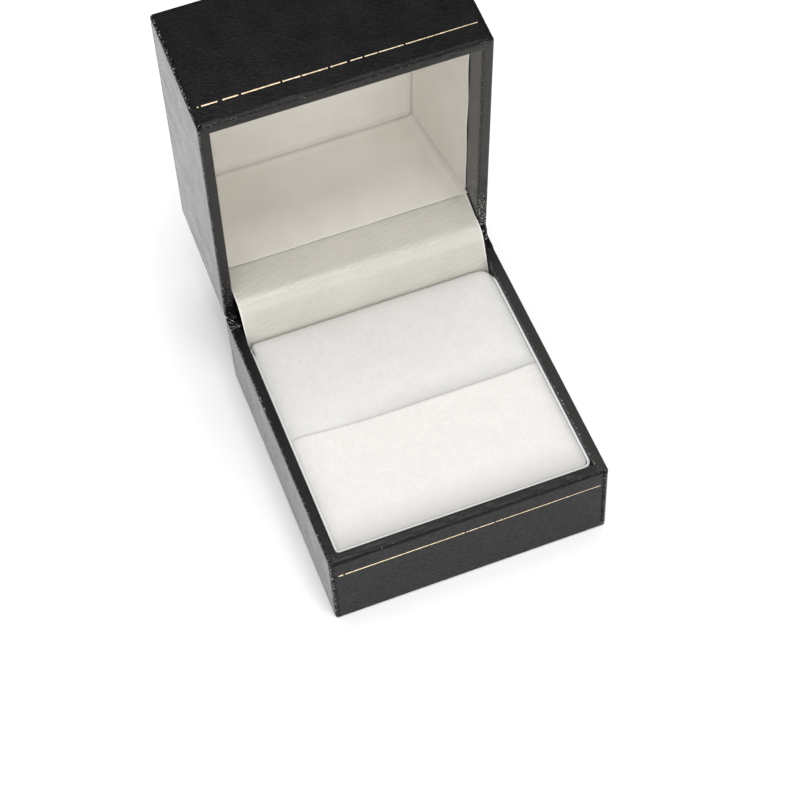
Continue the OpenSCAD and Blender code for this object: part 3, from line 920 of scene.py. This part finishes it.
def build_tray():
    """The moulded tray round the pads, a thin wall with a rounded rim."""
    radii = (1.7, 2.2, 1.1, 0.8)
    wall, height, floor_t = 0.42, tray_high[2] - tray_low[2], 0.5
    path = [(2.0, 0.0), (0.3, 0.0)] + arc_points((0.3, 0.3), 0.3, 270, 180, 3)
    path += [(0.0, height * k / 6) for k in (1, 2, 3, 4, 5)]
    path += arc_points((wall / 2, height - wall / 2), wall / 2, 180, 0, 8)
    path += [(wall, height * k / 6) for k in (5, 4, 3, 2, 1)] + [(wall, floor_t), (2.0, floor_t)]
    rings = [outline(i, TRAY_LOW, TRAY_HIGH, radii, 1.0) for i, _ in path]
    columns = len(rings[0])
    points = [(x, y, tray_low[2] + z + 0.015 * wave((x, y, 0), 5.0)
               + (tray_rim(x, y) - tray_high[2]) * max(0.0, z - floor_t) / (height - floor_t))
              for (_, z), ring in zip(path, rings) for x, y, _, _ in ring]
    faces = grid_faces(len(path), columns, wrap_columns=True)
    faces.append(tuple(range(columns)))
    last = (len(path) - 1) * columns
    faces.append(tuple(last + j for j in reversed(range(columns))))
    obj = add_mesh("pad_tray_moulded", points, faces, [TRAY])
    stands_for(obj, "pad_tray", "base")


def build_ring_pad():
    build_tray()
    for half, low, high, material in (("front", front_low, front_high, VELVET),
                                      ("rear", rear_low, rear_high, VELVET_REAR_SHADED)):
        front = half == "front"
        pad = build_pad("pad_velvet_" + half, low, high, front, material)
        stands_for(pad, "pad_cover_" + half, "base")
        foam_low, foam_high = mm_box("pad_foam_" + half)
        foam = build_pad("pad_sponge_" + half, foam_low, foam_high, front, FOAM, 0.0, 0.25)
        stands_for(foam, "pad_foam_" + half, "base")


# ---- Bands bent across the joint ----


def band(path, thickness, half_width, columns, wobble=0.0, seed=0.0, border=None):
    """A strip with rounded long edges along a (y, z) path, its outer face on the path."""
    path = np.array(path, float)
    along = np.gradient(path, axis=0)
    along /= np.linalg.norm(along, axis=1)[:, None]
    inner = np.stack([along[:, 1], -along[:, 0]], 1)
    xs = np.linspace(-half_width, half_width, columns + 1)
    if border:
        xs[1], xs[-2] = xs[0] + border, xs[-1] - border
    section = [(x, 0.0) for x in xs] + [(x, thickness) for x in xs[::-1]]
    rows = []
    for (y, z), (iy, iz) in zip(path, inner):
        for x, depth in section:
            push = depth + wobble * (0.5 + wave((x, y, z), 6.0, seed))
            rows.append((x, y + iy * push, z + iz * push))
    n = len(section)
    faces = grid_faces(len(path), n, wrap_columns=True)
    faces.append(tuple(range(n - 1, -1, -1)))
    last = (len(path) - 1) * n
    faces.append(tuple(range(last, last + n)))
    return rows, faces


def arc_length(path):
    return float(np.linalg.norm(np.diff(np.array(path), axis=0), axis=1).sum())


def cover_path():
    """The hinge cover's visible side: foot, leaning front, arch and the tongue tucked under the lining."""
    lean, rise, r = radians(71.0), radians(4.4), 3.6
    knee_z, tongue = 15.0, 7.0
    foot_y, foot_z = cover_low[1], cover_low[2]
    arch_z = cover_high[2] - r
    arch_y = foot_y + (arch_z + r * cos(lean) - knee_z) / tan(lean) + r * sin(lean)
    path = spaced_line((foot_y, foot_z), (foot_y, knee_z - 0.6), 0.8)
    path += spaced_line((foot_y + 0.05, knee_z), (arch_y - r * sin(lean), arch_z + r * cos(lean)), 0.4)
    path += arc_points((arch_y, arch_z), r, 90 + degrees(lean), 90 + degrees(rise), 20)
    end = path[-1]
    tip = (end[0] + tongue * cos(rise), end[1] + tongue * sin(rise))
    return path + spaced_line(end, tip, 0.5)[1:] + [tip]


CURL, CURL_START = 1.4, 0.955  # how far the crease's right end turns up, and from where
COVER_T, COVER_BORDER = 0.4, 0.2
COVER_WIDER = 0.35  # at each side, than the CAD's


def curl(share):
    """How far the crease turns up at that share of its half width."""
    return CURL * max(0.0, (share - CURL_START) / (1 - CURL_START)) ** 1.3


def build_hinge_cover():
    path = cover_path()
    half = cover_high[0] + COVER_WIDER
    columns = 80
    points, faces = band(path, COVER_T, half, columns, 0.06, 5.0, border=COVER_BORDER)
    points = [(x, y, z + curl(x / half) * ramp(y, AXIS[1] + 0.5, AXIS[1] + 5.5)) for x, y, z in points]
    n = 2 * (columns + 1)
    edges = [{0, 1}, {columns - 1, columns}, {columns, columns + 1}, {n - 1, 0}]
    side = [int(len(f) == 4 and {i % n for i in f} in edges) for f in faces]
    obj = add_mesh("hinge_cover_leatherette", points, faces, [IVORY_COVER_SHADED, CUT_EDGE], faces_material=side)
    stands_for(obj, "hinge_cover")
    arc_length(path) * MM
    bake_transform(obj)


def build_spring():
    """The bow spring: a foot on each leaf and a bow round the hinge axis."""
    r, thick = 3.2, 0.3
    foot_y, foot_low, foot_high = 1.85, 6.25, 3.6  # from the axis
    y, z = AXIS[1], AXIS[2]
    end = degrees(np.arccos((foot_y + thick / 2) / r))
    outer = [(y - foot_y - thick, z - foot_low), (y - foot_y - thick, z - foot_high)]
    outer += arc_points((y, z), r + thick / 2, 180 + end, 180 - end - degrees(OPEN), 40)
    foot = swing([(0, y - foot_y - thick - 0.05, z + up) for up in (foot_high, foot_low)], -OPEN)
    outer += [(p[1], p[2]) for p in foot]
    points, faces = band(outer, thick, mm_box("snap_spring")[1][0], 8)
    obj = add_mesh("snap_spring_bow", points, faces, [SPRING])
    stands_for(obj, "snap_spring")
    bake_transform(obj)


def build_spine():
    """Black strip glued over the back of the joint, with a soft fold in the open corner."""
    leg, fold_low, fold_r, thick = 6.2, 1.45, 0.6, 0.26
    half = HALF_W - 0.3
    outside = HALF_D + 0.28
    path = spaced_line((outside, AXIS[2] - leg), (outside, AXIS[2] - fold_low), 0.4)
    path += arc_points((outside + fold_r, AXIS[2] - fold_low), fold_r, 180, 92, 6)
    heel, tip = (tuple(swing([(0, outside, AXIS[2] + z)], -OPEN)[0][1:]) for z in (2.2, leg))
    path += spaced_line(heel, tip, 0.4) + [tip]
    points, faces = band(path, thick, half, 60, 0.03, 9.0)
    obj = add_mesh("spine_strip_leatherette", points, faces, [BLACK])
    set_attribute(obj, "wear", [0.0] * len(points))
    stands_for(obj, "spine_strip")
    arc_length(path) * MM
    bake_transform(obj)


# ---- Lid lining ----

MOUTH_X = 22.85  # the lining's half width at its mouth
LEAN, REAR_LEAN = 4.0, 5.1  # how far the flaps lean in from the mouth to the top
MOUTH_RAISED, REAR_MOVED_IN = 0.55, 0.35  # of the mouth, compared with the CAD's
SEAM_GAP = 0.2
CARD_T = 0.6
BUNCHING = 1.3  # above 1 the rows of points lie closer together near the mouth
HEM = 0.06  # the share of the height over which the sheet thins to its edge


def lining_corner(d, level):
    """The lining's half width, front, rear and height: d behind its visible face, level 0 at the
    mouth, 1 at the top."""
    mouth_z, top_z = liner_low[2] + MOUTH_RAISED, liner_high[2] - TURN_T
    z = mouth_z + (top_z - mouth_z) * level
    x = MOUTH_X - LEAN * level + d
    front = liner_low[1] + TURN_T + LEAN * level - d
    rear = liner_high[1] - TURN_T - REAR_MOVED_IN - REAR_LEAN * level + d
    return x, front, rear, z


def flap_point(side, start, d, s, t):
    """A point of a flap: rear, front, right or left, d behind its face, s across and t up it."""
    t = start + (1 - start) * t
    x, front, rear, z = lining_corner(d * (0.4 + 0.6 * min(1.0, t / HEM)), t)
    across = 2 * s - 1
    bow = 0.10 * wave((across * 20, t * 14, side * 7), 7.0, side)
    bow += 0.16 * ((1 - across * across) * t * (1 - t) * 4)
    room = SEAM_GAP * (0.2 + 0.8 * min(1.0, t * 5))
    fold = 0.45 * max(0.0, (t - 0.93) / 0.07) ** 2
    out = 1 if side % 2 == 0 else -1
    if side >= 2:
        centre, half = (front + rear) / 2, (rear - front) / 2 - room
        return (out * (x + bow - fold), centre - across * half * out, z)
    if side == 1:
        return (-across * (x - room), front - (bow - fold), z)
    lifted = curl(across) * (1 - 0.6 * t) + 0.3 * max(0.0, (-across - 0.95) / 0.05) ** 2 * (1 - t)
    tip = max(0.0, (across - 0.965) / 0.035) * max(0.0, 1 - t * 14)
    return (across * (x - room) + 0.12 * tip, rear + (bow - lifted - fold), z - tip)


def top_point(d, s, t):
    """A point of the lining's top panel, which sags a little at its edges."""
    x, front, rear, z = lining_corner(d, 1.0)
    edge = min(s, 1 - s, t, 1 - t)
    sag = 0.30 * nearness(edge, 0.06) ** 2 - 0.08 * wave((s * 30, t * 30, 0), 8.0, 2.0)
    return ((2 * s - 1) * (x - 0.1), front + 0.1 + (rear - front - 0.2) * t, z + d - sag)


def build_lining(name, node, depths, start, materials):
    """One folded sheet between two depths: a top and four flaps, with open seams between the flaps.
    start is how far up from the mouth the flaps begin."""
    points, faces, marks = [], [], []
    panels = [(partial(flap_point, side, start), 26, 48) for side in range(4)] + [(top_point, 24, 30)]
    for place, rows, columns in panels:
        first = len(points)
        points += [place(d, j / columns, (i / rows) ** BUNCHING)
                   for d in depths for i in range(rows + 1) for j in range(columns + 1)]
        sides, edge = slab_faces(rows + 1, columns + 1)
        faces += shifted(sides + edge, first)
        marks += [0] * len(sides) + [len(materials) - 1] * len(edge)
    obj = add_mesh(name, points, faces, materials, open_lid=True, faces_material=marks)
    stands_for(obj, node, "lid")


# ---- Camera, light and floor ----

LENS = 98.108
TARGET = Vector((0, 25.0 - HALF_D, 15.0)) * MM
DISTANCE = 377.03 * MM
AZIMUTH, ELEVATION, ROLL = radians(-17.9221), radians(55.5511), radians(-3.6257)


def build_camera():
    back = Vector((sin(AZIMUTH) * cos(ELEVATION), -cos(AZIMUTH) * cos(ELEVATION), sin(ELEVATION)))
    right = (-back).cross(Vector((0, 0, 1))).normalized()
    up = right.cross(-back)
    turned_right = cos(ROLL) * right + sin(ROLL) * up
    turned_up = -sin(ROLL) * right + cos(ROLL) * up
    data = bpy.data.cameras.new("camera")
    data.lens, data.sensor_width = LENS, 36.0
    data.shift_x, data.shift_y = -0.02218, 0.01490
    data.clip_start, data.clip_end = 0.01, 10.0
    camera = add_object("camera", data)
    camera.matrix_world = Matrix.Translation(TARGET + back * DISTANCE) @ Matrix(
        (turned_right, turned_up, back)).transposed().to_4x4()
    bpy.context.scene.camera = camera


def softbox(name, azimuth, elevation, power, size=0.7, distance=0.95):
    """A square light aimed at the box. Azimuth 0 is the front, and positive is to the right."""
    a, e = radians(azimuth), radians(elevation)
    place = Vector((sin(a) * cos(e), -cos(a) * cos(e), sin(e))) * distance
    data = bpy.data.lights.new(name, "AREA")
    data.shape, data.size, data.energy = "SQUARE", size, power
    lamp = add_object(name, data)
    lamp.location = place
    lamp.rotation_mode = "QUATERNION"
    lamp.rotation_quaternion = (-place).to_track_quat("-Z", "Y")


def build_stage():
    world = bpy.data.worlds.new("world")
    world.use_nodes = True
    background = world.node_tree.nodes["Background"]
    background.inputs["Color"].default_value = (1, 1, 1, 1)
    background.inputs["Strength"].default_value = 0.44
    bpy.context.scene.world = world
    softbox("top_softbox", 8, 78, 2.5, 0.26)
    softbox("back_softbox", 162, 75, 1.8, 0.4)
    softbox("right_softbox", 14, 30, 3.0)
    softbox("left_softbox", -45, 32, 1.7)
    size = 1.5
    corners = [(-size, -size, 0), (size, -size, 0), (size, size, 0), (-size, size, 0)]
    mesh = bpy.data.meshes.new("floor")
    mesh.from_pydata(corners, [], [(0, 1, 2, 3)])
    mesh.materials.append(plain("floor", (0.92, 0.92, 0.92), 0.9, 3.0, 0.01, 0.01,
                                Emission_Color=(1, 1, 1, 1), Emission_Strength=0.20))
    floor = add_object("floor", mesh)
    bpy.context.scene.view_settings.view_transform = "Standard"


build_camera()
build_stage()
dress_cad_nodes()
build_case()
build_hinge_folds()
build_ring_pad()
build_hinge_cover()
build_spring()
build_spine()
build_lining("lid_lining_leatherette", "lid_lining",
             (0.0, TURN_T), 0.0, [IVORY, CUT_EDGE])
build_lining("lid_lining_board", "lid_lining_card",
             (TURN_T, TURN_T + CARD_T), 0.11, [CARD])
